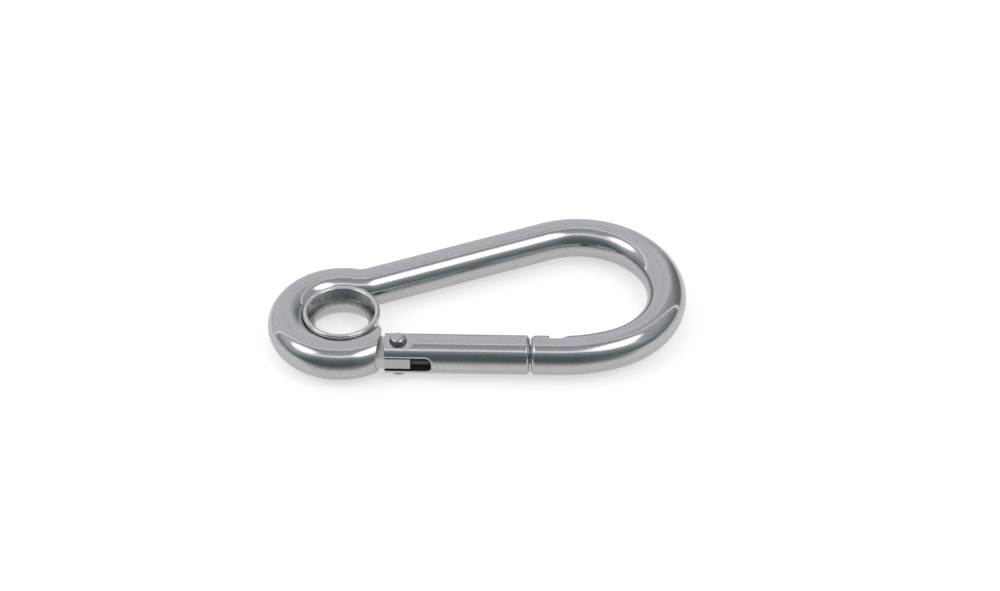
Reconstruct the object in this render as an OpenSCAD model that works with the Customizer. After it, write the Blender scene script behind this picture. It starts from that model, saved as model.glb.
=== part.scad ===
// Eye snap hook: a bent round bar with a sprung gate and an eyelet in its ring end.
// Millimetres. The eyelet's bore is on the Z axis, centred on the bar's mid-plane.
// +X runs along the gate from its hinge to the nose, +Y towards the rear bar.

/* [Hook body] */
// Diameter of the round bar
bar_d = 7.5; // [6:0.1:9.5]
// Overall length, from the ring end to the big bend
hook_length = 80; // [72:0.5:100]
// Distance of the gate's axis from the eye's centre
gate_offset = 8.1; // [7:0.1:9.8]
// Distance of the rear bar's axis from the eye's centre
rear_offset = 7.7; // [6.4:0.1:9.3]
// Bend radius where the near side leaves the nose
near_bend_r = 28.7; // [22:0.5:36]
// Angle of that bend
near_bend_angle = 22; // [14:1:30]
// Bend radius at the far right of the hook
end_bend_r = 16; // [13.5:0.25:19.5]
// Angle of that bend
end_bend_angle = 64; // [50:1:78]
// Bend radius from the end of the hook into the rear bar
rear_bend_r = 17; // [14:0.25:20]
// Radius of the reverse bend between the rear bar and the ring
neck_r = 5.9; // [5.2:0.1:8]

/* [Eyelet] */
// Diameter of the eyelet's bore
eye_bore_d = 10.2; // [8.4:0.1:12.4]
// Length of the straight wall inside the bore
throat_length = 2; // [1:0.1:3]
// Height of the eyelet
eyelet_height = 6.6; // [5.4:0.1:7.4]
// Wall of the eyelet at its throat
eyelet_wall = 1.4; // [1:0.1:1.8]
// Outer diameter of the rolled lips
lip_d = 14.8; // [14:0.1:17]
// Radius of the bead that each lip is rolled to
bead_r = 0.45; // [0.35:0.05:0.55]

/* [Hinge] */
// Distance of the hinge rivet from the eye's centre, along the gate
hinge_x = 11.2; // [10.6:0.1:14]
// Diameter of the rivet's shank
rivet_d = 2.9; // [2.4:0.1:3.3]
// How far a rivet head reaches past the shank, all round
rivet_overhang = 0.2; // [0.15:0.05:0.5]
// Height of a rivet head above its seat
rivet_head_height = 1.25; // [0.8:0.05:1.6]
// Thickness of the body's tang
tang_thickness = 2.4; // [1.8:0.1:2.8]
// Distance of the tang's end from the rivet's axis
tang_reach = 2.4; // [2.1:0.1:3]
// Rise of the tang's cam, in millimetres for each radian that the gate turns
cam_rise = 1.2; // [0.8:0.05:1.25]
// Angle through which the gate opens
gate_opening = 40; // [30:1:42]

/* [Gate] */
// Length of the gate from the rivet's axis to its tip
gate_length = 24.85; // [20:0.05:29]
// Length of the gate's tail behind the rivet's axis
tail_length = 2.55; // [2.3:0.05:2.8]
// Radius of the tail's inner corner about the rivet
tail_r = 3.35; // [3:0.05:3.5]
// Height of the slot in the gate's fork
slot_height = 3.3; // [2.9:0.1:3.8]
// Distance of the slot's end from the rivet's axis
slot_reach = 6.3; // [5:0.1:8]
// Diameter of the gate's spring bore
spring_bore_d = 4.4; // [4:0.1:4.8]
// Depth of that bore past the rivet's axis
spring_bore_reach = 19.6; // [17:0.1:21]
// Depth of the flats that seat the rivet's heads
rivet_seat_depth = 0.6; // [0.3:0.05:0.8]

/* [Catch] */
// Gap between the gate's tip and the nose
tip_gap = 0.3; // [0.25:0.05:0.8]
// Length of the nose's lip
lip_length = 3.45; // [2.6:0.05:4]
// Length of the groove's floor behind the lip
groove_length = 2.1; // [1.6:0.05:2.6]
// Height of the groove's floor above the bar's axis
groove_floor = 0.8; // [0.4:0.05:1.2]
// Length of the ramp that leads out of the groove
ramp_length = 3.4; // [1.4:0.1:4]
// Thickness of the gate's stem
stem_thickness = 1.6; // [1.2:0.1:2]
// Width of the hammer head on the stem
hammer_width = 3.4; // [2.9:0.1:4]

/* [Spring and plunger] */
// Diameter of the plunger's nose
plunger_nose_d = 2.8; // [2.7:0.05:3]
// Length of the plunger's guide
guide_length = 3; // [2:0.1:4]
// Wire of the spring
wire_d = 0.55; // [0.4:0.05:0.7]
// Turns of the spring
spring_turns = 8; // [6:0.5:10]

/* [Fits] */
// Radial clearance where a piece turns or slides in another
running_fit = 0.05; // [0.02:0.01:0.1]
// Radial clearance of the rivet in the fork that it is clenched in
clench_fit = 0.02; // [0.01:0.01:0.05]
// Gap where the eyelet's groove seats on the bar
seat_gap = 0.1; // [0.05:0.05:0.3]
// Gap between the plunger's guide and the fork's slot
moving_gap = 0.3; // [0.25:0.05:0.4]
// Gap between the gate's tail and the body's shoulder as the gate swings
swing_gap = 0.26; // [0.15:0.01:0.35]

/* [Hidden] */
$fn = 96;
steel = [0.78, 0.79, 0.80];
spring_steel = [0.62, 0.63, 0.65];

// The bar's path in plan. The ring's centreline follows the eyelet's groove.
bar_r = bar_d / 2;
drawn_r = bar_r - 0.02;
throat_r = eye_bore_d / 2;
ring_r = throat_r + eyelet_wall + seat_gap + bar_r;
gate_y = -gate_offset;
bend_width = near_bend_r * sin(near_bend_angle) + end_bend_r * (1 - sin(near_bend_angle));
bend_x = hook_length - ring_r - bar_r - drawn_r - bend_width;
near_centre = [bend_x, gate_y + near_bend_r];
end_centre = near_centre
    + (near_bend_r - end_bend_r) * [sin(near_bend_angle), -cos(near_bend_angle)];
end_stop = near_bend_angle + end_bend_angle;
rear_centre = end_centre + (end_bend_r - rear_bend_r) * [sin(end_stop), -cos(end_stop)];
rear_angle = atan2(rear_centre.y, rear_centre.x)
    + asin((rear_bend_r - rear_offset) / norm(rear_centre));
along = [cos(rear_angle), sin(rear_angle)];
across = [-sin(rear_angle), cos(rear_angle)];
rear_start = rear_centre + rear_bend_r * across;
neck_along = sqrt(pow(ring_r + neck_r, 2) - pow(rear_offset + neck_r, 2));
neck_centre = neck_along * along + (rear_offset + neck_r) * across;
rear_end = neck_centre - neck_r * across;
neck_angle = atan2(neck_centre.y, neck_centre.x);
neck_turn = rear_angle + 90 - neck_angle;
ring_stop = 347;
ring_turn = ring_stop - neck_angle;

// Bending draws the bar down by a hair. Each drawn-down length runs a little way into the
// full-size bar at both of its ends, so that all of them join into one solid.
lap = 0.1;

// The hinge. The ring's open end is the shoulder that the tang stands on. Its flat face leans
// back towards the outer side, and a slope leads from it to the ring's inner side.
shoulder = tail_r + swing_gap;
shoulder_lean = 9;
shoulder_slope = 37;
shoulder_corner = 1;
shoulder_top = 0.52 * bar_r;
slope_rise = gate_offset - 0.5;
tang_outer = 0.82 * bar_r;
tang_inner = 0.88 * bar_r;
tang_corner = 0.3;
tang_root = shoulder + 2;
cam_end = gate_opening + 2;
rivet_r = rivet_d / 2;
rivet_head_r = rivet_r + rivet_overhang;

// The catch. The nose starts beyond the gate's tip.
tip_x = hinge_x + gate_length;
nose_x = tip_x + tip_gap;
groove_x = nose_x + lip_length;
groove_end_x = groove_x + groove_length;
edge_bevel = 0.55;
lip_bevel = 0.35;
hammer_gap = 0.4;
hammer_length = groove_length - 2 * hammer_gap;
hammer_x = groove_x + hammer_gap;
hammer_low = groove_floor + 0.15;
hammer_high = hammer_low + 1.35;
stem_low = -1.5;
stem_slack = 0.3;

// The spring's room. The plunger's face meets the flat end of the tang.
cam_gap = 0.08;
face_x = hinge_x + tang_reach + cam_gap;
guide_x = hinge_x + slot_reach + moving_gap;
spring_x = guide_x + guide_length;
bore_end_x = hinge_x + spring_bore_reach;
drill_angle = 59;
coil_slack = 0.2;
spring_gap = 0.05;
broken_edge = 0.15;
flat_z = bar_r - rivet_seat_depth;

// Full-size round bar along a bend: an arc of radius r about c, from angle a0 through turn.
module bend(c, r, a0, turn, section_r = bar_r) {
    translate([c.x, c.y, 0])
        rotate([0, 0, a0])
            rotate_extrude(angle = turn)
                translate([r, 0])
                    circle(r = section_r);
}

// Drawn-down bar along a bend, with a lap at each end.
module drawn_bend(c, r, a0, turn) {
    lap_angle = sign(turn) * lap / r * 180 / PI;
    bend(c, r, a0 - lap_angle, turn + 2 * lap_angle, drawn_r);
}

// Round bar from one point of the plan to another.
module straight(from, to) {
    run = to - from;
    translate([from.x, from.y, 0])
        rotate([0, 90, atan2(run.y, run.x)])
            rotate([0, 0, 90])
                cylinder(r = bar_r, h = norm(run));
}

// Round bar along the gate's axis from x0 to x1, with bevels b0 and b1 at its ends.
module turned_bar(x0, x1, b0, b1) {
    translate([x0, gate_y, 0])
        rotate([0, 90, 0])
            rotate_extrude()
                polygon([[0, 0], [bar_r - b0, 0], [bar_r, b0], [bar_r, x1 - x0 - b1],
                    [bar_r - b1, x1 - x0], [0, x1 - x0]]);
}

// Plate of thickness t, centred on the mid-plane, from an outline about the gate's axis.
module plate(t, outline) {
    translate([0, gate_y, -t / 2])
        linear_extrude(t)
            polygon(outline);
}

// The tang's cam is an involute, so that the plunger moves evenly as the gate turns.
function cam_point(turn) =
    (tang_reach + cam_rise * turn * PI / 180) * [cos(turn), sin(turn)]
    + cam_rise * [-sin(turn), cos(turn)];

function tang_outline() =
    let (last = cam_point(cam_end))
    let (rest = (tang_inner - last.y) / cos(cam_end))
    let (corner = [tang_reach - tang_corner, tang_corner - tang_outer])
    concat(
        [[-tang_root, -tang_outer]],
        [for (a = [-90 : 10 : 0]) corner + tang_corner * [cos(a), sin(a)]],
        [for (a = [0 : 3 : cam_end]) cam_point(a)],
        [last + rest * [-sin(cam_end), cos(cam_end)]],
        [[-tang_root, tang_inner]]
    );

// Outline, about the rivet, of what is cut from the ring at its open end.
function end_outline() =
    let (face = [cos(shoulder_lean), -sin(shoulder_lean)])
    let (side = [sin(shoulder_lean), cos(shoulder_lean)])
    let (corner = shoulder_top * side - (shoulder + shoulder_corner) * face)
    let (last = corner + shoulder_corner * [cos(shoulder_slope), sin(shoulder_slope)])
    let (step = (shoulder_slope + shoulder_lean) / 10)
    concat(
        [-shoulder * face - bar_d * side],
        [
            for (a = [-shoulder_lean : step : shoulder_slope])
                corner + shoulder_corner * [cos(a), sin(a)]
        ],
        [last, [last.x - (slope_rise - last.y) * tan(shoulder_slope), slope_rise]],
        [[bar_d, slope_rise], [bar_d, -bar_d]]
    );

// The ring, from the neck round to the shoulder.
module ring() {
    difference() {
        bend([0, 0], ring_r, neck_angle, ring_turn);
        translate([hinge_x, 0, 0])
            plate(bar_d + 2, end_outline());
    }
}

module tang() {
    translate([hinge_x, 0, 0])
        plate(tang_thickness, tang_outline());
}

// Groove behind the nose's lip with its ramp, the bevel on the lip's back edge, and the slot
// that the gate's stem swings into.
module catch_cut() {
    over = bar_r + 1;
    ramp_end = ramp_length * (over - groove_floor) / (bar_r - groove_floor);
    plate(bar_d + 2, [
        [groove_x, groove_floor], [groove_end_x, groove_floor],
        [groove_end_x + ramp_end, over], [groove_x, over]
    ]);
    difference() {
        translate([groove_x - 2 * lip_bevel, gate_y + groove_floor, -over])
            cube([2.5 * lip_bevel, 2 * bar_r, 2 * over]);
        translate([groove_x - 3 * lip_bevel, gate_y, 0])
            rotate([0, 90, 0])
                cylinder(r1 = bar_r + 2 * lip_bevel, r2 = bar_r - 2 * lip_bevel,
                    h = 4 * lip_bevel);
    }
    plate(stem_thickness + 2 * stem_slack, [
        [nose_x - 1, stem_low - stem_slack], [groove_end_x, stem_low - stem_slack],
        [groove_end_x, over], [nose_x - 1, over]
    ]);
}

module body() {
    color(steel)
        difference() {
            union() {
                turned_bar(nose_x, bend_x, edge_bevel, 0);
                drawn_bend(near_centre, near_bend_r, -90, near_bend_angle);
                bend(end_centre, end_bend_r, near_bend_angle - 90, end_bend_angle);
                drawn_bend(rear_centre, rear_bend_r, end_stop - 90,
                    180 + rear_angle - end_stop);
                straight(rear_end, rear_start);
                drawn_bend(neck_centre, neck_r, rear_angle - 90, -neck_turn);
                ring();
                tang();
            }
            catch_cut();
            translate([hinge_x, gate_y, -bar_r])
                cylinder(r = rivet_r + running_fit, h = bar_d);
        }
}

// Half of the eyelet's section above the mid-plane: the throat, the funnel that runs up to
// the bead, and the hollow that seats on the bar. The bead is rounded from its outer side
// over the top to where the funnel meets it.
module eyelet_half() {
    lip_r = lip_d / 2;
    throat_edge = [throat_r, throat_length / 2];
    bead = [lip_r - bead_r, eyelet_height / 2 - bead_r];
    roll = 145;
    reach = 2 * bead_r;
    meeting = bead + 0.97 * bead_r * [cos(roll), sin(roll)];
    funnel_end = meeting + 0.15 * (meeting - throat_edge);
    difference() {
        polygon([[throat_r, 0], throat_edge, funnel_end, [lip_r, funnel_end.y], [lip_r, 0]]);
        translate(bead)
            difference() {
                polygon([[0, 0], [reach, 0], [reach, reach], [-reach, reach],
                    [-reach, -reach * tan(roll)]]);
                circle(r = bead_r);
            }
        translate([ring_r, 0])
            circle(r = bar_r + seat_gap);
    }
}

module eyelet() {
    color(steel)
        rotate_extrude() {
            eyelet_half();
            mirror([0, 1])
                eyelet_half();
        }
}

// The tail is round about the rivet on its inner side, so that it clears the shoulder.
module tail_cut() {
    translate([hinge_x, gate_y, -bar_r - 1])
        difference() {
            translate([-2 * bar_r, 0, 0])
                cube([2 * bar_r, 2 * bar_r, bar_d + 2]);
            cylinder(r = tail_r, h = bar_d + 2);
        }
}

// Slot of the fork, with rounded corners at its end, seen along Y.
module fork_slot() {
    r = 1.2;
    end = hinge_x + slot_reach;
    half = slot_height / 2;
    translate([0, gate_y + bar_r + 1, 0])
        rotate([90, 0, 0])
            linear_extrude(bar_d + 2)
                union() {
                    translate([hinge_x - bar_d, -half])
                        square([slot_reach + bar_d - r, slot_height]);
                    translate([end - 2 * r, r - half])
                        square([2 * r, slot_height - 2 * r]);
                    for (side = [-1, 1])
                        translate([end - r, side * (half - r)])
                            circle(r = r);
                }
}

// Flat seat for a rivet head, running out along the gate in a soft curve.
module rivet_seat() {
    run_out = rivet_head_r + 0.05;
    r = 2;
    translate([hinge_x - bar_d, gate_y - bar_r, flat_z])
        cube([bar_d + run_out, bar_d, bar_r]);
    translate([hinge_x + run_out, gate_y + bar_r, flat_z + r])
        rotate([90, 0, 0])
            cylinder(r = r, h = bar_d);
}

module gate_bore() {
    r = spring_bore_d / 2;
    tip = r / tan(drill_angle);
    translate([hinge_x - bar_d, gate_y, 0])
        rotate([0, 90, 0])
            cylinder(r = r, h = bar_d + spring_bore_reach);
    translate([bore_end_x, gate_y, 0])
        rotate([0, 90, 0])
            cylinder(r1 = r, r2 = 0, h = tip);
}

// Flat stem with its hammer head, which drops behind the nose's lip.
module stem() {
    end = hammer_x + hammer_length;
    plate(stem_thickness, [
        [tip_x - 2, stem_low], [end - 0.5, stem_low], [end, stem_low + 0.5],
        [end, hammer_high], [hammer_x, hammer_high], [tip_x - 2, hammer_high - 0.4]
    ]);
    plate(hammer_width, [
        [hammer_x, hammer_low], [end, hammer_low],
        [end, hammer_high], [hammer_x, hammer_high]
    ]);
}

module gate() {
    color(steel)
        difference() {
            union() {
                difference() {
                    turned_bar(hinge_x - tail_length, tip_x, broken_edge, edge_bevel);
                    tail_cut();
                    fork_slot();
                    rivet_seat();
                    mirror([0, 0, 1])
                        rivet_seat();
                    gate_bore();
                }
                stem();
            }
            translate([hinge_x, gate_y, -bar_r])
                cylinder(r = rivet_r + clench_fit, h = bar_d);
        }
}

// One button head, from its seat upwards.
module rivet_head() {
    r = rivet_head_r;
    foot = 0.1;
    crown = rivet_head_height - 2 * foot;
    crown_r = (r * r + crown * crown) / (2 * crown);
    rotate_extrude()
        intersection() {
            translate([0, rivet_head_height - crown_r])
                circle(r = crown_r);
            polygon([[0, 0], [r - foot, 0], [r, foot], [r, rivet_head_height],
                [0, rivet_head_height]]);
        }
}

module hinge_rivet() {
    color(steel)
        translate([hinge_x, gate_y, 0]) {
            translate([0, 0, -flat_z])
                cylinder(r = rivet_r, h = 2 * flat_z);
            translate([0, 0, flat_z])
                rivet_head();
            mirror([0, 0, 1])
                translate([0, 0, flat_z])
                    rivet_head();
        }
}

// Plunger: a nose that bears on the cam and a guide that slides in the bore.
module plunger() {
    nose_r = plunger_nose_d / 2;
    guide_r = spring_bore_d / 2 - running_fit;
    edge = broken_edge;
    nose_length = guide_x - face_x;
    back = nose_length + guide_length;
    color(steel)
        translate([face_x, gate_y, 0])
            rotate([0, 90, 0])
                rotate_extrude()
                    polygon([[0, 0], [nose_r - edge, 0], [nose_r, edge],
                        [nose_r, nose_length], [guide_r - edge, nose_length],
                        [guide_r, nose_length + edge], [guide_r, back - edge],
                        [guide_r - edge, back], [0, back]]);
}

// Height of the wire after t turns. The turns at both ends are wound closed.
function coil_height(t, length) =
    let (closed = 0.9)
    let (closed_pitch = wire_d * 1.02)
    let (open = (length - wire_d - 2 * closed * closed_pitch) / (spring_turns - 2 * closed))
    t < closed ? t * closed_pitch
    : t > spring_turns - closed ? length - wire_d - (spring_turns - t) * closed_pitch
    : closed * closed_pitch + (t - closed) * open;

module spring() {
    sides = 8;
    steps = 20;
    rings = spring_turns * steps;
    length = bore_end_x - spring_x - 2 * spring_gap;
    mean_r = spring_bore_d / 2 - coil_slack - wire_d / 2;
    points = [
        for (i = [0 : rings])
            let (t = i / steps)
            for (k = [0 : sides - 1])
                let (a = 360 * k / sides)
                let (r = mean_r + wire_d / 2 * cos(a))
                [r * cos(360 * t), r * sin(360 * t),
                    wire_d / 2 + coil_height(t, length) + wire_d / 2 * sin(a)]
    ];
    faces = concat(
        [[for (k = [0 : sides - 1]) k]],
        [
            for (i = [0 : rings - 1])
                for (k = [0 : sides - 1])
                    let (n = (k + 1) % sides)
                    [i * sides + k, (i + 1) * sides + k, (i + 1) * sides + n, i * sides + n]
        ],
        [[for (k = [sides - 1 : -1 : 0]) rings * sides + k]]
    );
    color(spring_steel)
        translate([spring_x + spring_gap, gate_y, 0])
            rotate([0, 90, 0])
                polyhedron(points = points, faces = faces, convexity = 8);
}

body();
eyelet();
gate();
hinge_rivet();
plunger();
spring();
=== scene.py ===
"""Eye snap hook in polished stainless steel, lying on a pale studio floor.

The bar is swept along its path, the catch and the hinge are cut into it, and the turned
pieces are revolved from their sections. Lengths are in millimetres until a mesh is made.
"""
import math

import bmesh
import bpy
from mathutils import Matrix, Vector


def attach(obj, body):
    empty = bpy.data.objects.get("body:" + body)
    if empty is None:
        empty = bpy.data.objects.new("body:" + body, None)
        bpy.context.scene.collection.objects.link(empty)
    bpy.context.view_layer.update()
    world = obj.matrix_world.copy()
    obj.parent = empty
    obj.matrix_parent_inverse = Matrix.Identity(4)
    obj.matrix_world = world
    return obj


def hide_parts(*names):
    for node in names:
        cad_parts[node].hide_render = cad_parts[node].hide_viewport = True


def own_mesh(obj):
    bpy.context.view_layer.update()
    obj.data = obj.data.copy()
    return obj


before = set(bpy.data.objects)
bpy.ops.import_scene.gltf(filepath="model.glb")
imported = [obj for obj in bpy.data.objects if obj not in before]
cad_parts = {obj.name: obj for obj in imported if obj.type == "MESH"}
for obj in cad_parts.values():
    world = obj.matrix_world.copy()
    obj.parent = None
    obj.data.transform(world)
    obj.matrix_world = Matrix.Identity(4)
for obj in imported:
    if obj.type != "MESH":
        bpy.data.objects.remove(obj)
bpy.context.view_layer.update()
scene = bpy.context.scene
MM = 0.001

# ---------------------------------------------------------------- sizes of the hook
BAR_R = 3.75
GATE_Y = -8.1
RING_R = 10.35
NOSE_X, BEND_X = 36.25, 41.412
NEAR_R, NEAR_TURN = 28.7, 22.0
END_R, END_TURN = 16.0, 64.0
REAR_R, REAR_OFFSET = 17.0, 7.7
NECK_R = 5.9
RING_STOP = 347.0

HINGE_X = 11.2
TAIL_LENGTH, TAIL_R = 2.55, 3.35
SHOULDER, SHOULDER_LEAN, SHOULDER_SLOPE = 3.61, 9.0, 37.0
TANG_T = 2.4
TANG_REACH, CAM_RISE, CAM_END = 2.4, 1.2, 42.0
RIVET_D, RIVET_HEAD_D, RIVET_HEAD_H = 2.9, 3.3, 1.25
FLAT_Z = 3.15

TIP_X = 36.05
SLOT_H, SLOT_REACH, SLOT_BEVEL, SLOT_DIP = 3.3, 6.3, 0.28, 0.13
BORE_D, BORE_END_X = 4.4, 30.8
GROOVE_X, GROOVE_END_X, GROOVE_FLOOR = 39.8, 41.9, 0.8
RAMP, LIP_BEVEL = 3.4, 0.35
STEM_T, HAMMER_W = 1.6, 3.4
NOTCH_H, NOTCH_FLOOR = 2.2, -1.8
EYE_R, LIP_R, LIP_TOP, BEAD_R = 5.1, 7.4, 3.3, 0.45

SLIDE_FIT, CLENCH_FIT, SEAT_FIT, CAM_GAP = 0.05, 0.02, 0.07, 0.08
PLUNGER_NOSE_R, GUIDE_X, GUIDE_LENGTH, STROKE = 1.4, HINGE_X + SLOT_REACH + 0.3, 3.0, 0.85
WIRE_D, COIL_R, COIL_TURNS = 0.55, 1.725, 8
SPRING_X, SPRING_END_X = GUIDE_X + GUIDE_LENGTH + SLIDE_FIT, BORE_END_X - SLIDE_FIT

# How far the cutting tools reach past the bar and the gate they cut.
PAST_BAR, PAST_GATE = 5.0, 6.0


# ---------------------------------------------------------------- mesh helpers
def new_object(name, mesh):
    obj = bpy.data.objects.new(name, mesh)
    scene.collection.objects.link(obj)
    return obj


def mesh_from(name, points, faces):
    """A mesh object from points in millimetres."""
    mesh = bpy.data.meshes.new(name)
    mesh.from_pydata([[c * MM for c in p] for p in points], [], faces)
    bm = bmesh.new()
    bm.from_mesh(mesh)
    bmesh.ops.remove_doubles(bm, verts=bm.verts, dist=1e-8)
    bmesh.ops.recalc_face_normals(bm, faces=bm.faces)
    if bm.calc_volume(signed=True) < 0:
        bmesh.ops.reverse_faces(bm, faces=bm.faces)
    bm.to_mesh(mesh)
    bm.free()
    return new_object(name, mesh)


def prism(name, outline, low, high):
    """Plate between two heights, from an outline in plan."""
    n = len(outline)
    points = [(x, y, z) for z in (low, high) for x, y in outline]
    sides = [(i, (i + 1) % n, n + (i + 1) % n, n + i) for i in range(n)]
    return mesh_from(name, points, [tuple(range(n))[::-1], tuple(range(n, 2 * n))] + sides)


def turned(name, profile, place, segments=160):
    """Solid of revolution. The profile is (radius, height) pairs, closed by the axis or by
    itself, and place is the matrix that stands it in the hook, in millimetres."""
    ring = [k for k, (r, _) in enumerate(profile) if r > 1e-6]
    closed = len(ring) == len(profile)
    points, index = [], {}
    for k, (r, h) in enumerate(profile):
        if k not in ring:
            index[k] = [len(points)] * segments
            points.append((0, 0, h))
            continue
        index[k] = list(range(len(points), len(points) + segments))
        for i in range(segments):
            a = 2 * math.pi * i / segments
            points.append((r * math.cos(a), r * math.sin(a), h))
    faces = []
    last = len(profile) if closed else len(profile) - 1
    for k in range(last):
        a, b = index[k], index[(k + 1) % len(profile)]
        for i in range(segments):
            j = (i + 1) % segments
            quad = [a[i], a[j], b[j], b[i]]
            face = [v for n, v in enumerate(quad) if v not in quad[:n]]
            if len(face) > 2:
                faces.append(face)
    points = [tuple(place @ Vector(p)) for p in points]
    return mesh_from(name, points, faces)


def along_x(x0):
    """Stands a turned piece on the gate's axis, with its heights running along +X."""
    return Matrix.Translation((x0, GATE_Y, 0)) @ Matrix.Rotation(math.pi / 2, 4, "Y")


def lofted(name, rings):
    """Solid between rings of matching points, closed by the first and the last."""
    n = len(rings[0])
    points = [p for ring in rings for p in ring]
    faces = [tuple(range(n)), tuple(range(n * len(rings) - n, n * len(rings)))[::-1]]
    for k in range(len(rings) - 1):
        for i in range(n):
            a, b = k * n + i, k * n + (i + 1) % n
            faces += [(a, b, b + n), (a, b + n, a + n)]
    return mesh_from(name, points, faces)


def widened(line, by):
    """A closed outline moved outwards by a distance."""
    centre = Vector((sum(p[0] for p in line), sum(p[1] for p in line))) / len(line)
    out = []
    for before, at, after in zip(line[-1:] + line[:-1], line, line[1:] + line[:1]):
        p, q, s = Vector(before), Vector(at), Vector(after)
        u, v = (q - p).normalized(), (s - q).normalized()
        across = Vector((u.y + v.y, -u.x - v.x)).normalized()
        reach = by / max(0.3, math.cos(u.angle(v, 0) / 2))
        if across.dot(q - centre) < 0:
            reach = -reach
        out.append(tuple(q + across * reach))
    return out


def evaluated(obj):
    """Replaces an object's mesh by what its modifiers make of it."""
    bpy.context.view_layer.update()
    graph = bpy.context.evaluated_depsgraph_get()
    mesh = bpy.data.meshes.new_from_object(obj.evaluated_get(graph), depsgraph=graph)
    if obj.type != "MESH":
        name = obj.name
        bpy.data.objects.remove(obj)
        return new_object(name, mesh)
    obj.modifiers.clear()
    old, obj.data = obj.data, mesh
    bpy.data.meshes.remove(old)
    return obj


def carve(obj, tool, way="DIFFERENCE"):
    """Cuts a tool from a piece, joins it on, or keeps what both share; the tool goes."""
    step = obj.modifiers.new(way.lower(), "BOOLEAN")
    step.operation = way
    step.solver = "EXACT"
    step.object = tool
    obj = evaluated(obj)
    bpy.data.objects.remove(tool)
    return obj


def finish_mesh(obj, sharp=26.0):
    """Merges doubles, points the faces outwards and shades smooth between sharp edges."""
    bm = bmesh.new()
    bm.from_mesh(obj.data)
    bmesh.ops.remove_doubles(bm, verts=bm.verts, dist=2e-7)
    bmesh.ops.dissolve_degenerate(bm, edges=bm.edges, dist=1e-7)
    bmesh.ops.recalc_face_normals(bm, faces=bm.faces)
    bm.to_mesh(obj.data)
    bm.free()
    obj.data.shade_smooth()
    obj.data.set_sharp_from_angle(angle=math.radians(sharp))
    return obj


# ---------------------------------------------------------------- the bar's path in plan
def bar_path(step=0.4):
    """Points down the middle of the bar, from the nose round to the ring's open end."""
    rad = math.radians
    near = Vector((BEND_X, GATE_Y + NEAR_R))
    s, c = math.sin(rad(NEAR_TURN)), math.cos(rad(NEAR_TURN))
    end = near + (NEAR_R - END_R) * Vector((s, -c))
    stop = NEAR_TURN + END_TURN
    s, c = math.sin(rad(stop)), math.cos(rad(stop))
    rear = end + (END_R - REAR_R) * Vector((s, -c))
    slope = math.degrees(math.atan2(rear.y, rear.x)
                         + math.asin((REAR_R - REAR_OFFSET) / rear.length))
    along = Vector((math.cos(rad(slope)), math.sin(rad(slope))))
    across = Vector((-along.y, along.x))
    reach = math.sqrt((RING_R + NECK_R) ** 2 - (REAR_OFFSET + NECK_R) ** 2)
    neck = reach * along + (REAR_OFFSET + NECK_R) * across
    meet = math.degrees(math.atan2(neck.y, neck.x))

    def arc(centre, r, a0, a1):
        n = max(2, round(abs(rad(a1 - a0)) * r / step))
        return [(centre.x + r * math.cos(rad(a0 + (a1 - a0) * k / n)),
                 centre.y + r * math.sin(rad(a0 + (a1 - a0) * k / n))) for k in range(n + 1)]

    def line(p, q):
        n = max(2, round((q - p).length / step))
        return [tuple(p.lerp(q, k / n)) for k in range(1, n)]

    path = line(Vector((NOSE_X + 1.0, GATE_Y)), Vector((BEND_X, GATE_Y)))
    path += arc(near, NEAR_R, -90, NEAR_TURN - 90)
    path += arc(end, END_R, NEAR_TURN - 90, stop - 90)[1:]
    path += arc(rear, REAR_R, stop - 90, 90 + slope)[1:]
    path += line(rear + REAR_R * across, neck - NECK_R * across)
    path += arc(neck, NECK_R, slope - 90, meet - 180)
    path += arc(Vector((0, 0)), RING_R, meet, RING_STOP)[1:]
    widths = [1.0] * len(path)
    # The nose's front edge is bevelled: places along the bar, and how far each is turned in.
    nose = [(0.0, 0.6), (0.02, 0.54), (0.1, 0.44), (0.4, 0.18), (0.6, 0.07), (0.8, 0.015),
            (0.95, 0.0)]
    path = [(NOSE_X + x, GATE_Y) for x, _ in nose] + path
    widths = [1 - inset / BAR_R for _, inset in nose] + widths
    return path, widths


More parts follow.
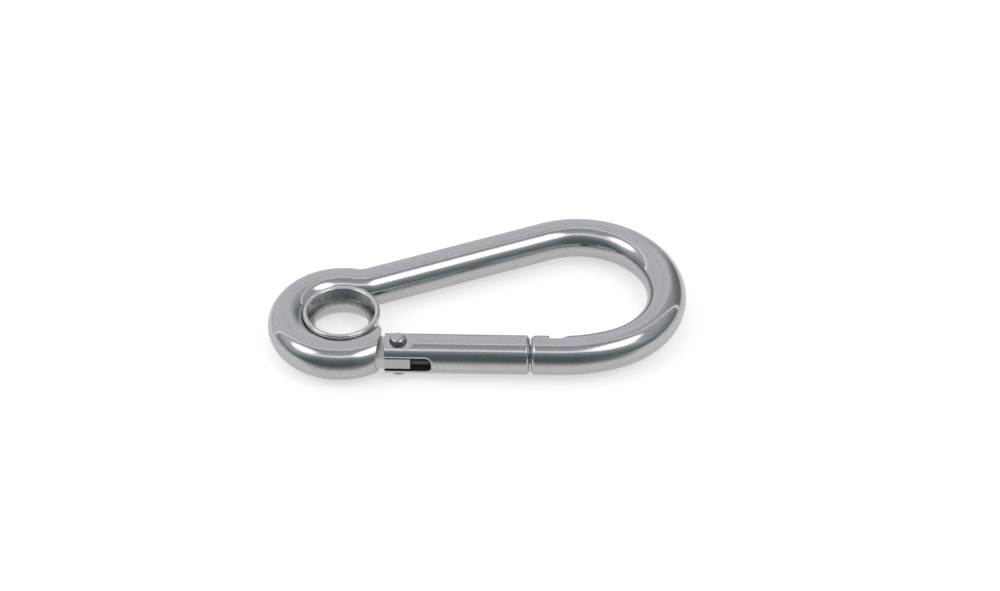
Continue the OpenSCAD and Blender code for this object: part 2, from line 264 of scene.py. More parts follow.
# ---------------------------------------------------------------- node trees for sweeps
def sweep_tree(name, sides):
    """Sweeps a round section along a curve, and stores where each point of the surface
    lies: across the section, and along the curve."""
    tree = bpy.data.node_groups.new(name, "GeometryNodeTree")
    face = tree.interface
    face.new_socket("Geometry", in_out="OUTPUT", socket_type="NodeSocketGeometry")
    face.new_socket("Path", in_out="INPUT", socket_type="NodeSocketGeometry")
    radius = face.new_socket("Radius", in_out="INPUT", socket_type="NodeSocketFloat")
    radius.default_value = 0.001
    section = face.new_socket("Sides", in_out="INPUT", socket_type="NodeSocketInt")
    section.default_value = sides
    face.new_socket("Finish", in_out="INPUT", socket_type="NodeSocketMaterial")
    node = tree.nodes.new
    link = tree.links.new
    given, result = node("NodeGroupInput"), node("NodeGroupOutput")
    circle = node("GeometryNodeCurvePrimitiveCircle")
    link(given.outputs["Sides"], circle.inputs["Resolution"])
    link(given.outputs["Radius"], circle.inputs["Radius"])
    place = node("GeometryNodeInputPosition")
    keep_section = node("GeometryNodeStoreNamedAttribute")
    keep_section.data_type = "FLOAT_VECTOR"
    keep_section.inputs["Name"].default_value = "section"
    link(circle.outputs["Curve"], keep_section.inputs["Geometry"])
    link(place.outputs["Position"], keep_section.inputs["Value"])
    run = node("GeometryNodeSplineParameter")
    keep_run = node("GeometryNodeStoreNamedAttribute")
    keep_run.data_type = "FLOAT"
    keep_run.inputs["Name"].default_value = "run"
    link(given.outputs["Path"], keep_run.inputs["Geometry"])
    link(run.outputs["Length"], keep_run.inputs["Value"])
    upright = node("GeometryNodeSetCurveNormal")
    upright.mode = "Z_UP"
    link(keep_run.outputs["Geometry"], upright.inputs["Curve"])
    sweep = node("GeometryNodeCurveToMesh")
    sweep.inputs["Fill Caps"].default_value = True
    width = node("GeometryNodeInputRadius")
    link(width.outputs["Radius"], sweep.inputs["Scale"])
    link(upright.outputs["Curve"], sweep.inputs["Curve"])
    link(keep_section.outputs["Geometry"], sweep.inputs["Profile Curve"])
    real = node("GeometryNodeRealizeInstances")
    link(sweep.outputs["Mesh"], real.inputs["Geometry"])
    finish = node("GeometryNodeSetMaterial")
    link(real.outputs["Geometry"], finish.inputs["Geometry"])
    link(given.outputs["Finish"], finish.inputs["Material"])
    link(finish.outputs["Geometry"], result.inputs["Geometry"])
    return tree


def swept(name, path, widths, radius, sides, material):
    """A round wire or bar along a path in millimetres, made by the sweep tree."""
    curve = bpy.data.curves.new(name + "_path", "CURVE")
    curve.dimensions = "3D"
    spline = curve.splines.new("POLY")
    spline.points.add(len(path) - 1)
    for point, place, width in zip(spline.points, path, widths):
        x, y, z = (*place, 0.0)[:3]
        point.co = (x * MM, y * MM, z * MM, 1)
        point.radius = width
    guide = new_object(name, curve)
    step = guide.modifiers.new("sweep", "NODES")
    tree = sweep_tree(name + "_sweep", sides)
    step.node_group = tree
    for item in tree.interface.items_tree:
        if item.name == "Radius":
            step[item.identifier] = radius * MM
        elif item.name == "Sides":
            step[item.identifier] = sides
        elif item.name == "Finish":
            step[item.identifier] = material
    return evaluated(guide)


# ---------------------------------------------------------------- shader node helpers
def put(tree, socket, value):
    """Links a socket's output into another, or sets a plain number or colour on it."""
    if isinstance(value, bpy.types.NodeSocket):
        tree.links.new(value, socket)
    else:
        socket.default_value = value


def calculated(tree, operation, *values):
    """The result of one Math node."""
    step = tree.nodes.new("ShaderNodeMath")
    step.operation = operation
    for socket, value in zip(step.inputs, values):
        put(tree, socket, value)
    return step.outputs[0]


def graded(tree, value, stops):
    """A grey level or a colour that follows (place, level) stops along a value."""
    line = tree.nodes.new("ShaderNodeValToRGB")
    while len(line.color_ramp.elements) < len(stops):
        line.color_ramp.elements.new(0.5)
    for element, (place, level) in zip(line.color_ramp.elements, stops):
        element.position = place
        element.color = (*level, 1) if isinstance(level, tuple) else (level, level, level, 1)
    put(tree, line.inputs["Fac"], value)
    return line.outputs["Color"]


def blended(tree, factor, a, b, way="MIX"):
    """Colour a with colour b over it, by a factor."""
    step = tree.nodes.new("ShaderNodeMix")
    step.data_type, step.blend_type = "RGBA", way
    for name, value in (("Factor", factor), ("A", a), ("B", b)):
        put(tree, step.inputs[name], value)
    return step.outputs["Result"]


# ---------------------------------------------------------------- polished steel
def inside_of(tree, place, x0, x1, reach, height):
    """1 inside a short stretch about the gate's axis, up to a reach from it and a height."""
    def maths(operation, *values):
        return calculated(tree, operation, *values)

    part = tree.nodes.new("ShaderNodeSeparateXYZ")
    put(tree, part.inputs[0], place)
    x, z = part.outputs["X"], part.outputs["Z"]
    y = maths("SUBTRACT", part.outputs["Y"], GATE_Y * MM)
    out = maths("SQRT", maths("ADD", maths("MULTIPLY", y, y), maths("MULTIPLY", z, z)))
    found = maths("GREATER_THAN", x, x0 * MM)
    for test in (maths("LESS_THAN", x, x1 * MM), maths("LESS_THAN", out, reach * MM),
                 maths("LESS_THAN", maths("ABSOLUTE", z), height * MM)):
        found = maths("MULTIPLY", found, test)
    return found


def steel(name, tone, rough, grain=None, wave=0.012, nick=0.35, cuts=(), inner=None):
    """Polished stainless steel: a slow waviness from forming, fine polish lines, small
    handling marks, and a roughness that varies with them. grain names the direction of
    the polish lines: "run" follows the bar, otherwise it is a scale for each axis. Each of
    cuts is a stretch along X, left rougher as it was cut, whose tone paints its light and
    shade: from, to, reach from the gate's axis, height, tone and roughness. inner is the
    tone and roughness where the piece's own "inner" attribute is 1, with dark streaks along
    the grain; that tone is darker as painted shade."""
    mat = bpy.data.materials.new(name)
    mat.use_nodes = True
    tree = mat.node_tree
    node, link = tree.nodes.new, tree.links.new
    shade = tree.nodes["Principled BSDF"]
    shade.inputs["Metallic"].default_value = 1.0
    place = node("ShaderNodeTexCoord").outputs["Object"]

    lines_at = node("ShaderNodeMapping")
    if grain == "run":
        across, run, both = (node("ShaderNodeAttribute"), node("ShaderNodeAttribute"),
                             node("ShaderNodeCombineXYZ"))
        across.attribute_name, run.attribute_name = "section", "run"
        part = node("ShaderNodeSeparateXYZ")
        link(across.outputs["Vector"], part.inputs["Vector"])
        link(part.outputs["X"], both.inputs["X"])
        link(part.outputs["Y"], both.inputs["Y"])
        link(run.outputs["Fac"], both.inputs["Z"])
        link(both.outputs["Vector"], lines_at.inputs["Vector"])
        lines_at.inputs["Scale"].default_value = (1.0, 1.0, 0.04)
    else:
        link(place, lines_at.inputs["Vector"])
        lines_at.inputs["Scale"].default_value = grain or (1.0, 1.0, 1.0)
    grained = lines_at.outputs["Vector"]

    def noise(vector, scale, detail, rough_detail=0.6):
        field = node("ShaderNodeTexNoise")
        field.inputs["Scale"].default_value = scale
        field.inputs["Detail"].default_value = detail
        field.inputs["Roughness"].default_value = rough_detail
        link(vector, field.inputs["Vector"])
        return field.outputs["Fac"]

    def mottled(level, low, high):
        """A level that varies with the fine mottling of tumbled steel."""
        return graded(tree, fine, [(0.3, level * low), (0.7, level * high)])

    slow = noise(place, 230, 2.0)
    fine = noise(place, 2600, 3.0, 0.7)
    lines = noise(grained, 6500, 3.0, 0.75)
    nicks = graded(tree, noise(place, 1150, 4.0, 0.8), [(0.0, 1.0), (0.3, 1.0), (0.34, 0.0)])

    # Polish lines, mottling and handling marks show in the tone as well.
    colour = graded(tree, slow, [(0.3, tuple(t * 0.96 for t in tone)), (0.7, tone)])
    streaked = noise(grained, 2600, 3.0, 0.7)
    for field, low, high in ((streaked, 0.93, 1.04), (fine, 0.94, 1.05)):
        colour = blended(tree, 1.0, colour, graded(tree, field, [(0.36, low), (0.64, high)]),
                         "MULTIPLY")
    colour = blended(tree, nicks, colour, (1 - nick, 1 - nick, 1 - nick, 1), "MULTIPLY")
    spread = mottled(rough, 0.8, 1.25)
    # Each cut stretch's tone is painted light and shade; its roughness is the cut finish.
    for x0, x1, reach, height, cut_light_and_shade, cut_rough in cuts:
        inside = inside_of(tree, place, x0, x1, reach, height)
        colour = blended(tree, inside, colour, mottled(cut_light_and_shade, 0.85, 1.1))
        spread = blended(tree, inside, spread, mottled(cut_rough, 0.85, 1.1))
    # Where "inner" is 1 the tone is darker as painted shade, with the streaks and roughness of the
    # surface's finish.
    if inner:
        inner_tone, inner_rough = inner
        drawn_finish_and_shade = node("ShaderNodeAttribute")
        drawn_finish_and_shade.attribute_name = "inner"
        streaks = graded(tree, noise(grained, 1700, 2.0),
                         [(0.38, tuple(t * 0.78 for t in inner_tone)), (0.62, inner_tone)])
        cloud = graded(tree, noise(place, 420, 2.0), [(0.35, 0.82), (0.65, 1.0)])
        colour = blended(tree, drawn_finish_and_shade.outputs["Fac"], colour,
                         blended(tree, 1.0, streaks, cloud, "MULTIPLY"))
        spread = blended(tree, drawn_finish_and_shade.outputs["Fac"], spread, mottled(inner_rough, 0.8, 1.2))
    link(colour, shade.inputs["Base Color"])
    link(spread, shade.inputs["Roughness"])

    edge = node("ShaderNodeBevel")
    edge.samples = 6
    edge.inputs["Radius"].default_value = 0.1 * MM
    normal = edge.outputs["Normal"]
    for height, strength, distance in ((slow, 1.0, wave * MM * 2.2), (lines, 0.35, 0.0009 * MM),
                                       (nicks, -0.6, 0.006 * MM), (fine, 0.5, 0.0016 * MM)):
        bump = node("ShaderNodeBump")
        bump.invert = strength < 0
        bump.inputs["Strength"].default_value = abs(strength)
        bump.inputs["Distance"].default_value = distance
        link(height, bump.inputs["Height"])
        link(normal, bump.inputs["Normal"])
        normal = bump.outputs["Normal"]
    link(normal, shade.inputs["Normal"])
    return mat


POLISHED, POLISH_ROUGH = (0.573, 0.583, 0.597), 0.095
# The cut stretches' tones are painted light and shade: the shoulder strip lighter, the tang's face
# darker, the nose's groove and notch darkest.
bar_steel = steel("bar_steel", POLISHED, POLISH_ROUGH, grain="run", nick=0.15,
                  cuts=[(5.0, 8.7, 3.45, 3.4, 0.7, 0.42), (8.7, 16.0, 3.45, 3.4, 0.57, 0.38),
                        (36.3, 41.9, 3.05, 3.0, 0.25, 0.4)])
# Inside the fork's slot and the bore the tone is painted shade, darkest by the slot; the stem and
# hammer head are painted a little darker as shade too.
gate_steel = steel("gate_steel", POLISHED, POLISH_ROUGH, grain=(0.04, 1.0, 1.0), wave=0.006,
                   nick=0.15, cuts=[(8.0, 30.0, 3.4, 2.3, 0.17, 0.45),
                                    (30.0, 36.15, 3.1, 2.6, 0.22, 0.4),
                                    (36.15, 42.0, 3.1, 2.6, 0.46, 0.28)])
# Inside the eyelet, where "inner" is 1, the darker tone is painted shade on the rougher, streaked
# surface.
eyelet_steel = steel("eyelet_steel", (0.7, 0.705, 0.705), 0.12, grain=(1.0, 1.0, 0.05),
                     wave=0.006, nick=0.15, inner=((0.53, 0.53, 0.525), 0.24))
# On each head's wall, where "inner" is 1, the dark tone is painted shade.
rivet_steel = steel("rivet_steel", (0.58, 0.59, 0.6), 0.13, wave=0.003, nick=0.1,
                    inner=((0.25, 0.25, 0.26), 0.3))
# The plunger in the bore is rougher, and its darker tone is painted shade.
shaded_inner_steel = steel("shaded_inner_steel", (0.42, 0.43, 0.43), 0.3, grain=(1.0, 0.05, 0.05), wave=0.003)
wire_steel = steel("wire_steel", (0.5, 0.51, 0.52), 0.25, wave=0.002)


# ---------------------------------------------------------------- the hook's body
def cam_outline():
    """Outline of the tang about the rivet, with its involute cam."""
    outer, inner, root, corner = 0.82 * BAR_R, 0.88 * BAR_R, SHOULDER + 2, 0.3

    def cam(deg):
        a = math.radians(deg)
        reach = TANG_REACH + CAM_RISE * a
        return (reach * math.cos(a) - CAM_RISE * math.sin(a),
                reach * math.sin(a) + CAM_RISE * math.cos(a))

    last = cam(CAM_END)
    rise = (inner - last[1]) / math.cos(math.radians(CAM_END))
    line = [(-root, -outer)]
    line += [(TANG_REACH - corner + corner * math.cos(math.radians(a)),
              corner - outer + corner * math.sin(math.radians(a))) for a in range(-90, 1, 5)]
    line += [cam(a) for a in range(0, int(CAM_END) + 1, 2)]
    line += [(last[0] - rise * math.sin(math.radians(CAM_END)), inner), (-root, inner)]
    return [(x + HINGE_X, y + GATE_Y) for x, y in line]


def end_outline():
    """Outline of what is cut from the ring at its open end."""
    lean, slope = math.radians(SHOULDER_LEAN), math.radians(SHOULDER_SLOPE)
    face, side = Vector((math.cos(lean), -math.sin(lean))), Vector((math.sin(lean), math.cos(lean)))
    corner = 0.52 * BAR_R * side - (SHOULDER + 1) * face
    rise = -GATE_Y - 0.5
    line = [-SHOULDER * face - 2 * BAR_R * side]
    for k in range(13):
        a = -lean + (slope + lean) * k / 12
        line.append(corner + Vector((math.cos(a), math.sin(a))))
    last = line[-1]
    line.append(Vector((last.x - (rise - last.y) * math.tan(slope), rise)))
    line += [Vector((7.5, rise)), Vector((7.5, -7.5))]
    return [(x + HINGE_X, y + GATE_Y) for x, y in line]


def rod(name, x, y, r, z0, z1, segments=96):
    """Upright cylinder."""
    line = [(x + r * math.cos(2 * math.pi * k / segments),
             y + r * math.sin(2 * math.pi * k / segments)) for k in range(segments)]
    return prism(name, line, z0, z1)


def box_between(name, low, high):
    """Box between its lowest and highest corners."""
    (x0, y0, z0), (x1, y1, z1) = low, high
    return prism(name, [(x0, y0), (x1, y0), (x1, y1), (x0, y1)], z0, z1)


def from_axis(outline):
    """An outline given from the gate's axis, moved to where the gate lies."""
    return [(x, y + GATE_Y) for x, y in outline]


def make_body():
    """The bent bar, with the tang at the ring's open end and the catch in its nose."""
    path, widths = bar_path()
    body = swept("hook_bar", path, widths, BAR_R, 112, bar_steel)

    # The ring's open end is cut to a leaning face, with a rounded corner and a slope.
    body = carve(body, prism("ring_end", end_outline(), -PAST_BAR, PAST_BAR))

    body = carve(body, prism("tang", cam_outline(), -TANG_T / 2, TANG_T / 2), "UNION")
    over = BAR_R + 1.0
    body = carve(body, rod("rivet_hole", HINGE_X, GATE_Y, RIVET_D / 2 + SLIDE_FIT, -over, over))

    # Groove behind the lip with its ramp, the rounded bevel on the lip's back edge, and the
    # notch for the stem.
    ramp_end = GROOVE_END_X + RAMP * (over - GROOVE_FLOOR) / (BAR_R - GROOVE_FLOOR)
    groove = [(GROOVE_X, GROOVE_FLOOR), (GROOVE_END_X, GROOVE_FLOOR), (ramp_end, over),
              (GROOVE_X, over)]
    body = carve(body, prism("groove", from_axis(groove), -PAST_BAR, PAST_BAR))
    wide = 2 * LIP_BEVEL
    bevel = box_between("bevel", (GROOVE_X - wide, GATE_Y + GROOVE_FLOOR, -PAST_BAR),
                        (GROOVE_X + 0.2, GATE_Y + PAST_BAR, PAST_BAR))
    cone = [(0, 0), (BAR_R + wide, 0), (BAR_R, wide)]
    cone += [(BAR_R - LIP_BEVEL * inward, wide + LIP_BEVEL * along) for inward, along in
             ((0.04, 0.35), (0.12, 0.6), (0.3, 0.82), (0.6, 0.97), (1.0, 1.04), (3.0, 1.1))]
    cone += [(0, wide + LIP_BEVEL * 1.1)]
    bevel = carve(bevel, turned("cone", cone, along_x(GROOVE_X - LIP_BEVEL - wide), 160))
    body = carve(body, bevel)
    notch = [(NOSE_X - 1, NOTCH_FLOOR), (GROOVE_END_X, NOTCH_FLOOR), (GROOVE_END_X, over),
             (NOSE_X - 1, over)]
    body = carve(body, prism("slot", from_axis(notch), -NOTCH_H / 2, NOTCH_H / 2))
    finish_mesh(body)
    body.data.materials.clear()
    body.data.materials.append(bar_steel)
    return body


# ---------------------------------------------------------------- the eyelet
def make_eyelet():
    """Section of the eyelet: straight throat, a steep funnel on each side, the bead that each
    lip is rolled to, and the hollow that seats on the bar."""
    bead = Vector((LIP_R - BEAD_R, LIP_TOP - BEAD_R))
    edge = Vector((EYE_R, 1.0))
    # The bead is wider inwards, where it ends on the funnel, and taller outwards.
    roll, tall, end = 0.62, 0.62, math.radians(150)
    meeting = bead + Vector((roll * math.cos(end), BEAD_R * math.sin(end)))
    slope = math.atan2(meeting.y - edge.y, meeting.x - edge.x)
    soft = 0.85
    inner = [(EYE_R, edge.y - soft)]
    for k in range(1, 12):
        t = k / 12
        inner.append((edge.x + soft * t * t * math.cos(slope),
                      edge.y + soft * (t * t * math.sin(slope) - (1 - t) ** 2)))
    bead_line = []
    for a in [end * (1 - k / 30) for k in range(31)]:
        wide, high = (roll, BEAD_R) if a > math.pi / 2 else (BEAD_R, tall)
        bead_line.append((bead.x + wide * math.cos(a), LIP_TOP - high + high * math.sin(a)))
    seat_r = BAR_R + SEAT_FIT
    foot = math.sqrt(seat_r ** 2 - (RING_R - LIP_R) ** 2)
    a0 = math.atan2(foot, LIP_R - RING_R)
    seat = [(RING_R + seat_r * math.cos(a0 + (math.pi - a0) * k / 14),
             seat_r * math.sin(a0 + (math.pi - a0) * k / 14)) for k in range(15)]
    upper = inner + bead_line + seat
    lower = [(r, -h) for r, h in reversed(upper)][1:]
    eye = turned("eyelet_ring", upper + lower, Matrix.Identity(4), 256)
    finish_mesh(eye, 40)
    # Where "inner" is 1, from the bead inwards, the surface has its rougher streaked finish and a
    # darker tone that is painted shade; the lower half is marked less, so that shade is weaker
    # there.
    drawn_finish_and_shade = eye.data.attributes.new("inner", "FLOAT", "POINT")
    for vertex, mark in zip(eye.data.vertices, drawn_finish_and_shade.data):
        depth = min(1.0, max(0.0, (LIP_R - 0.85 - vertex.co.xy.length / MM) / 0.25))
        mark.value = depth * (1.0 if vertex.co.z > 0.2 * MM else 0.3)
    eye.data.materials.append(eyelet_steel)
    return eye


# ---------------------------------------------------------------- the gate
def slot_rings():
    """Rings of the tool that cuts the fork's slot through along Y: rounded corners at its
    end, and a shallow bevel round both of its mouths."""
    half, r, end = SLOT_H / 2, 1.2, HINGE_X + SLOT_REACH
    turn = [math.radians(a) for a in range(0, 91, 6)]
    line = [(HINGE_X - PAST_GATE, -half)]
    line += [(end - r + r * math.sin(a), -half + r - r * math.cos(a)) for a in turn]
    line += [(end - r + r * math.cos(a), half - r + r * math.sin(a)) for a in turn]
    line += [(HINGE_X - PAST_GATE, half)]
    rings = []
    for side in (-1, 1):
        mouth = [[(x, GATE_Y + side * PAST_GATE, z) for x, z in widened(line, 2 * SLOT_BEVEL)]]
        for deep, spread in ((-SLOT_DIP, 2 * SLOT_BEVEL), (SLOT_DIP, 0.0)):
            reach = BAR_R - deep
            mouth.append([(x, GATE_Y + side * math.sqrt(reach * reach - z * z), z)
                          for x, z in widened(line, spread)])
        rings += mouth if side < 0 else mouth[::-1]
    return rings


def make_gate():
    """The turned sleeve with its fork, rivet seats and bore, and the stem and hammer head."""
    tail_x = HINGE_X - TAIL_LENGTH
    length = TIP_X - tail_x
    stations = [0.3 + 0.5 * k for k in range(int((length - 1.2) / 0.5))]
    profile = [(0, 0), (BAR_R - 0.16, 0), (BAR_R - 0.05, 0.04), (BAR_R, 0.15)]
    profile += [(BAR_R, h) for h in stations]
    # The edge at the tip is bevelled: how far each point is turned in, and from the tip.
    profile += [(BAR_R - inset, length - back) for inset, back in
                ((0, 0.66), (0.015, 0.56), (0.06, 0.47), (0.44, 0.07), (0.52, 0.02), (0.58, 0))]
    profile += [(0, length)]
    gate = turned("gate_sleeve", profile, along_x(tail_x), 160)

    # The tail is rounded about the rivet on the inside of the hook.
    corner = box_between("corner", (HINGE_X - 8, GATE_Y, -PAST_BAR),
                         (HINGE_X, GATE_Y + 8, PAST_BAR))
    corner = carve(corner, rod("tail", HINGE_X, GATE_Y, TAIL_R, -PAST_GATE, PAST_GATE))
    gate = carve(gate, corner)
    gate = carve(gate, lofted("fork_slot", slot_rings()))

    # Flat seats for the rivet heads, each running out in a soft curve.
    flat_x, run_out = HINGE_X + 1.7, 2.0
    for side in (1, -1):
        line = [(HINGE_X - PAST_GATE, 0.0), (flat_x, 0.0)]
        line += [(flat_x + run_out * math.sin(math.radians(a)),
                  run_out - run_out * math.cos(math.radians(a))) for a in range(4, 73, 4)]
        line += [(HINGE_X - PAST_GATE, line[-1][1])]
        gate = carve(gate, lofted("seat", [[(x, y, side * (FLAT_Z + h)) for x, h in line]
                                           for y in (GATE_Y - PAST_BAR, GATE_Y + PAST_BAR)]))

    # The bore ends in a drill's point.
    r, deep = BORE_D / 2, BORE_END_X - HINGE_X + PAST_GATE
    bore = [(0, 0), (r, 0), (r, deep), (0, deep + r / math.tan(math.radians(59)))]
    gate = carve(gate, turned("bore", bore, along_x(HINGE_X - PAST_GATE), 96))
    hole = rod("rivet_hole", HINGE_X, GATE_Y, RIVET_D / 2 + CLENCH_FIT, -PAST_GATE, PAST_GATE)
    gate = carve(gate, hole)

    # Flat stem with the hammer head that drops behind the nose's lip.
    x0, x1 = GROOVE_X + 0.4, GROOVE_END_X - 0.4
    low, high = GROOVE_FLOOR + 0.15, GROOVE_FLOOR + 1.5
    root = TIP_X - 2
    stem = [(root, -1.5), (x1 - 0.5, -1.5), (x1, -1.0), (x1, high), (x0, high), (root, high - 0.4)]
    head = [(x0, low), (x1, low), (x1, high), (x0, high)]
    gate = carve(gate, prism("stem", from_axis(stem), -STEM_T / 2, STEM_T / 2), "UNION")
    gate = carve(gate, prism("head", from_axis(head), -HAMMER_W / 2, HAMMER_W / 2), "UNION")
    finish_mesh(gate)
    gate.data.materials.clear()
    gate.data.materials.append(gate_steel)
    return gate


# ---------------------------------------------------------------- rivet, plunger, spring
def make_rivet():
    """The shank, with a head on each flat. The upper head has a leaning wall, a rounded
    shoulder and a low crown; the lower one is fuller."""
    r, rh, h = RIVET_D / 2, RIVET_HEAD_D / 2, RIVET_HEAD_H
    shoulder, low, high = 0.62, math.radians(20), math.radians(68)
    wall = (rh - 0.2, 0.66)
    middle = (wall[0] - shoulder * math.cos(low), wall[1] - shoulder * math.sin(low))
    lean = math.pi / 2 - high
    crown_r = (middle[0] + shoulder * math.cos(high)) / math.sin(lean)
    foot = [(rh - 0.1, 0), (rh - 0.03, 0.04), (rh, 0.1)]
    turn = [low + (high - low) * k / 10 for k in range(11)]
    head = foot + [(middle[0] + shoulder * math.cos(a), middle[1] + shoulder * math.sin(a))
                   for a in turn]
    head += [(crown_r * math.sin(lean * k / 10), h - crown_r + crown_r * math.cos(lean * k / 10))
             for k in range(9, 0, -1)] + [(0, h)]
    upper = [(a, b + FLAT_Z) for a, b in head]
    corner = 0.38
    full = [(0, h), (rh - 0.75, h)]
    full += [(rh - corner + corner * math.cos(a), h - 0.41 + corner * math.sin(a))
             for a in [math.radians(80 - 8 * k) for k in range(11)]] + foot[::-1]
    lower = [(a, -b - FLAT_Z) for a, b in full]
    profile = lower + [(r, -FLAT_Z), (r, FLAT_Z)] + upper
    rivet = turned("rivet_pin", profile, Matrix.Translation((HINGE_X, GATE_Y, 0)), 96)
    finish_mesh(rivet, 35)
    # The wall of each head is painted darker than its crown, as painted shade between the head and
    # the bar.
    painted_wall_shade = rivet.data.attributes.new("inner", "FLOAT", "POINT")
    for vertex, mark in zip(rivet.data.vertices, painted_wall_shade.data):
        mark.value = min(1.0, max(0.0, (FLAT_Z + 0.83 - abs(vertex.co.z) / MM) / 0.15))
    rivet.data.materials.append(rivet_steel)
    return rivet


def make_plunger():
    """Stepped pin in the gate's bore: a nose against the cam, and the guide behind it."""
    face_x = HINGE_X + TANG_REACH + CAM_GAP
    nose, back = GUIDE_X - face_x, GUIDE_X - face_x + GUIDE_LENGTH
    rn, rg, e = PLUNGER_NOSE_R, BORE_D / 2 - SLIDE_FIT, 0.15
    profile = [(0, 0), (rn - e, 0), (rn, e), (rn, nose), (rg - e, nose), (rg, nose + e),
               (rg, back - e), (rg - e, back), (0, back)]
    plunger = turned("plunger_pin", profile, along_x(face_x), 96)
    finish_mesh(plunger, 30)
    plunger.data.materials.append(shaded_inner_steel)
    return plunger


def make_spring():
    """Compression spring behind the plunger, its end turns wound close."""
    dead, steps = 0.9, 40
    close = WIRE_D * 1.02
    length = SPRING_END_X - SPRING_X
    pitch = (length - WIRE_D - 2 * dead * close) / (COIL_TURNS - 2 * dead)
    path = []
    for k in range(COIL_TURNS * steps + 1):
        t = k / steps
        if t < dead:
            h = t * close
        elif t > COIL_TURNS - dead:
            h = length - WIRE_D - (COIL_TURNS - t) * close
        else:
            h = dead * close + (t - dead) * pitch
        a = 2 * math.pi * t
        path.append((SPRING_X + WIRE_D / 2 + h, GATE_Y + COIL_R * math.sin(a),
                     -COIL_R * math.cos(a)))
    coil = swept("spring_coil", path, [1.0] * len(path), WIRE_D / 2, 16, wire_steel)
    finish_mesh(coil, 60)
    return coil


pieces = {
    "body": (make_body(), "hook", "bar_steel"),
    "eyelet": (make_eyelet(), "hook", "eyelet_steel"),
    "gate": (make_gate(), "gate", "gate_steel"),
    "hinge_rivet": (make_rivet(), "gate", "rivet_steel"),
    "plunger": (make_plunger(), "plunger", "plunger_steel"),
    "spring": (make_spring(), "gate", "spring_steel"),
}
for node_name, (piece, body_name, slot_name) in pieces.items():
    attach(piece, body_name)
    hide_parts(node_name)
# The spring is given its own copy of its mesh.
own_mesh(pieces["spring"][0])


# ---------------------------------------------------------------- floor and light
FLOOR_Z, FLOOR_REACH, GLOW = -4.42, 3000, 0.5
SHADE_REACH, SHADE = 12, 0.6
SWEEP, EDGE, BOXES = 0.73, 1.5, 2.1


def make_floor():
    """White paper with a faint glow, which keeps the hook's shadow. To the steel it is clear,
    darker only under the hook, so that the steel shows the paper that the world paints below
    the horizon."""
    reach = FLOOR_REACH
    corners = [(-reach, -reach), (reach, -reach), (reach, reach), (-reach, reach)]
    floor = mesh_from("floor", [(x, y, FLOOR_Z) for x, y in corners], [(0, 1, 2, 3)])
    paper = bpy.data.materials.new("paper")
    paper.use_nodes = True
    tree = paper.node_tree
    node, link = tree.nodes.new, tree.links.new
    tree.nodes.remove(tree.nodes["Principled BSDF"])
    seen = node("ShaderNodeLightPath")
    matt = node("ShaderNodeBsdfDiffuse")
    matt.inputs["Color"].default_value = (0.92, 0.905, 0.905, 1)
    glow = node("ShaderNodeEmission")
    glow.inputs["Color"].default_value = (1.0, 0.96, 0.955, 1)
    link(calculated(tree, "MULTIPLY", seen.outputs["Is Camera Ray"], GLOW),
         glow.inputs["Strength"])
    lit = node("ShaderNodeAddShader")
    link(matt.outputs[0], lit.inputs[0])
    link(glow.outputs[0], lit.inputs[1])
    under = node("ShaderNodeAmbientOcclusion")
    under.samples = 8
    under.inputs["Distance"].default_value = SHADE_REACH * MM
    clear = node("ShaderNodeBsdfTransparent")
    link(graded(tree, under.outputs["AO"], [(0.0, SHADE), (1.0, 1.0)]), clear.inputs["Color"])
    either = node("ShaderNodeMixShader")
    link(seen.outputs["Is Glossy Ray"], either.inputs[0])
    link(lit.outputs[0], either.inputs[1])
    link(clear.outputs[0], either.inputs[2])
    link(either.outputs[0], tree.nodes["Material Output"].inputs["Surface"])
    floor.data.materials.append(paper)


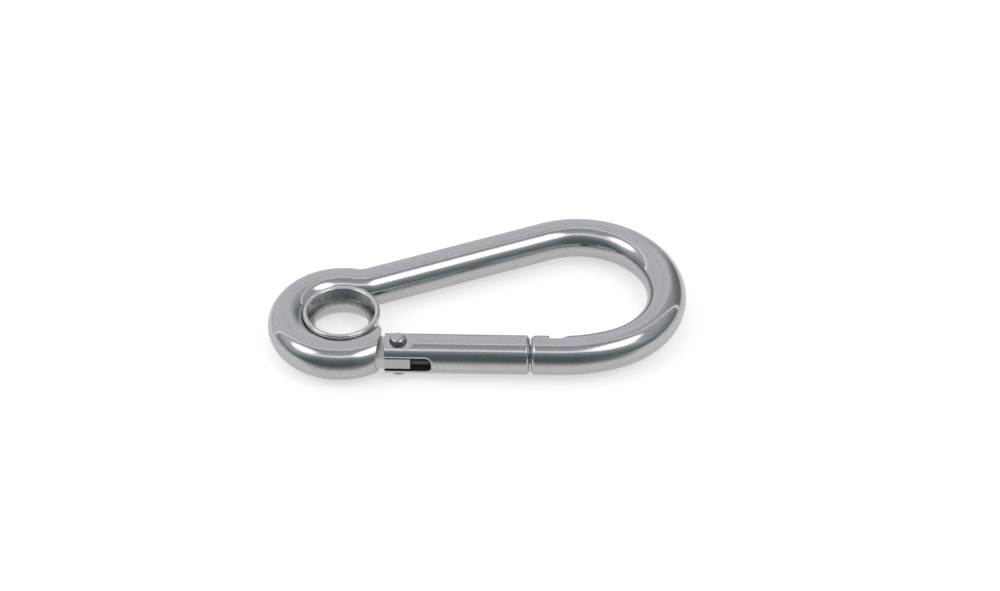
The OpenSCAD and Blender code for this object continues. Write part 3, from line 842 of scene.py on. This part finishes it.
def make_world():
    """A light sweep behind and beside the hook, a dark room in front of it, a grey ceiling
    with a narrow light across it, a soft box on each side, and the paper that the hook lies
    on. X and Y are where a direction meets a ceiling one unit above the hook."""
    world = bpy.data.worlds.new("studio")
    scene.world = world
    world.use_nodes = True
    tree = world.node_tree
    node, link = tree.nodes.new, tree.links.new
    back = tree.nodes["Background"]
    part = node("ShaderNodeSeparateXYZ")
    link(node("ShaderNodeTexCoord").outputs["Generated"], part.inputs[0])

    def maths(operation, *values):
        return calculated(tree, operation, *values)

    def rise(value, low, high):
        """Softly from 0 at low to 1 at high, or the other way round."""
        step = node("ShaderNodeMapRange")
        step.interpolation_type = "SMOOTHSTEP"
        link(value, step.inputs["Value"])
        flip = low > high
        for name, level in (("From Min", min(low, high)), ("From Max", max(low, high)),
                            ("To Min", 1.0 if flip else 0.0), ("To Max", 0.0 if flip else 1.0)):
            step.inputs[name].default_value = level
        return step.outputs["Result"]

    def between(value, a, b, c, d):
        return maths("MULTIPLY", rise(value, a, b), rise(value, d, c))

    def profile(value, low, high, stops):
        """A level that follows stops along a value between low and high."""
        share = maths("DIVIDE", maths("SUBTRACT", value, low), high - low)
        return graded(tree, share, [((place - low) / (high - low), level)
                                    for place, level in stops])

    def mixed(level, mask, other):
        return maths("MULTIPLY_ADD", mask, maths("SUBTRACT", other, level), level)

    def box(centre, half):
        """1 in the middle of a soft box on the ceiling, fading all round."""
        across = maths("DIVIDE", maths("SUBTRACT", x, centre[0]), half[0])
        down = maths("DIVIDE", maths("SUBTRACT", y, centre[1]), half[1])
        off = maths("ADD", maths("MULTIPLY", across, across), maths("MULTIPLY", down, down))
        return rise(off, 2.0, 0.5)

    dx, dy, dz = part.outputs["X"], part.outputs["Y"], part.outputs["Z"]
    up = maths("MAXIMUM", dz, 0.02)
    x, y = maths("DIVIDE", dx, up), maths("DIVIDE", dy, up)

    # The room, from its dark front over the line of light to the grey ceiling, and the
    # lighter walls on both sides.
    room = profile(y, -2.5, 0.5, [
        (-2.5, 0.15), (-1.73, 0.18), (-1.38, 0.2), (-1.11, 0.25), (-0.9, 0.34), (-0.73, 0.43),
        (-0.63, 0.75), (-0.55, 1.3), (-0.48, 1.1), (-0.4, 0.66), (-0.32, 0.52), (-0.1, 0.45),
        (0.1, 0.45), (0.25, 0.6)])
    # The front is lighter towards the right.
    beside = maths("DIVIDE", dx, maths("MAXIMUM", maths("MULTIPLY", dy, -1.0), 0.05))
    beside = maths("MULTIPLY", rise(beside, 0.2, 0.75), rise(dy, -0.2, -0.45))
    room = maths("MULTIPLY", room, maths("MULTIPLY_ADD", beside, 0.45, 1.0))
    walls = mixed(mixed(0.34, rise(dz, 0.1, 0.6), 0.66), rise(dx, -0.3, 0.3),
                  mixed(0.25, rise(dz, 0.1, 0.6), 0.48))
    aside = maths("MULTIPLY", rise(maths("ABSOLUTE", x), 0.5, 1.3), rise(dy, -0.75, -0.1))
    light = mixed(room, aside, walls)
    light = mixed(light, box((0.57, -0.32), (0.28, 0.34)), BOXES)
    light = mixed(light, box((-0.92, -0.2), (0.42, 0.27)), BOXES)

    # The light sweep behind the hook darkens to the right, and its edge is a line of light.
    edge = maths("MAXIMUM", maths("MULTIPLY", dz, 0.22), maths("MAXIMUM",
                 maths("MULTIPLY_ADD", dx, -0.34, maths("MULTIPLY", dz, 0.1)),
                 maths("MULTIPLY_ADD", dx, 0.53, maths("MULTIPLY", dz, 0.17))))
    over = maths("SUBTRACT", dy, edge)
    shaded = mixed(0.24, rise(dz, 0.25, 0.85), 0.55)
    sweep = mixed(SWEEP, rise(maths("DIVIDE", dx, maths("MAXIMUM", dy, 0.05)), 0.12, 0.6), shaded)
    light = mixed(light, rise(over, -0.004, 0.004), sweep)
    light = mixed(light, between(over, -0.03, -0.01, 0.006, 0.024), EDGE)

    # Seen straight on, the room is white.
    straight = node("ShaderNodeLightPath").outputs["Is Camera Ray"]
    light = mixed(light, straight, 1.0)
    cool = mixed(0.83, rise(light, 0.1, 0.65), 0.99)

    # Below the horizon lies the paper. It falls off towards the dark front of the room, as a
    # sheet that bends out of the light does.
    steep = maths("MULTIPLY", dz, -1.0)
    ahead = graded(tree, steep, [(0.0, 0.23), (0.1, 0.265), (0.21, 0.37), (0.31, 0.55),
                                 (0.41, 0.69), (0.5, 0.77), (0.6, 0.84), (0.87, 0.97), (1.0, 1.0)])
    around = graded(tree, steep, [(0.0, 0.63), (0.17, 0.81), (0.34, 0.87), (0.7, 0.87), (1.0, 0.9)])
    below = maths("MULTIPLY", maths("LESS_THAN", dz, 0.0), maths("SUBTRACT", 1.0, straight))
    light = mixed(light, below, mixed(around, rise(dy, -0.4, -0.9), ahead))

    tint = node("ShaderNodeCombineColor")
    for channel, share, of_paper in (("Red", cool, 1.0), ("Green", 0.995, 0.972),
                                     ("Blue", 1.03, 0.976)):
        link(maths("MULTIPLY", light, mixed(share, below, of_paper)), tint.inputs[channel])
    link(tint.outputs["Color"], back.inputs["Color"])
    back.inputs["Strength"].default_value = 1.0


make_floor()
make_world()


# ---------------------------------------------------------------- camera
TARGET, DISTANCE = Vector((30.05, 8.58, 0)) * MM, 645 * MM
AZIMUTH, ELEVATION = math.radians(1.279), math.radians(42.0)
SENSOR, LENS_PER_SENSOR = 36.0, 3.3458


def make_camera():
    """Looks down on the middle of the hook from in front."""
    away = Vector((math.sin(AZIMUTH) * math.cos(ELEVATION),
                   -math.cos(AZIMUTH) * math.cos(ELEVATION), math.sin(ELEVATION)))
    lens = bpy.data.cameras.new("camera")
    lens.sensor_width, lens.lens = SENSOR, LENS_PER_SENSOR * SENSOR
    lens.clip_start, lens.clip_end = 0.01, 20
    camera = new_object("camera", lens)
    camera.location = TARGET + away * DISTANCE
    camera.rotation_euler = (-away).to_track_quat("-Z", "Y").to_euler()
    scene.camera = camera


make_camera()
scene.view_settings.view_transform = "Standard"

bpy.context.view_layer.update()
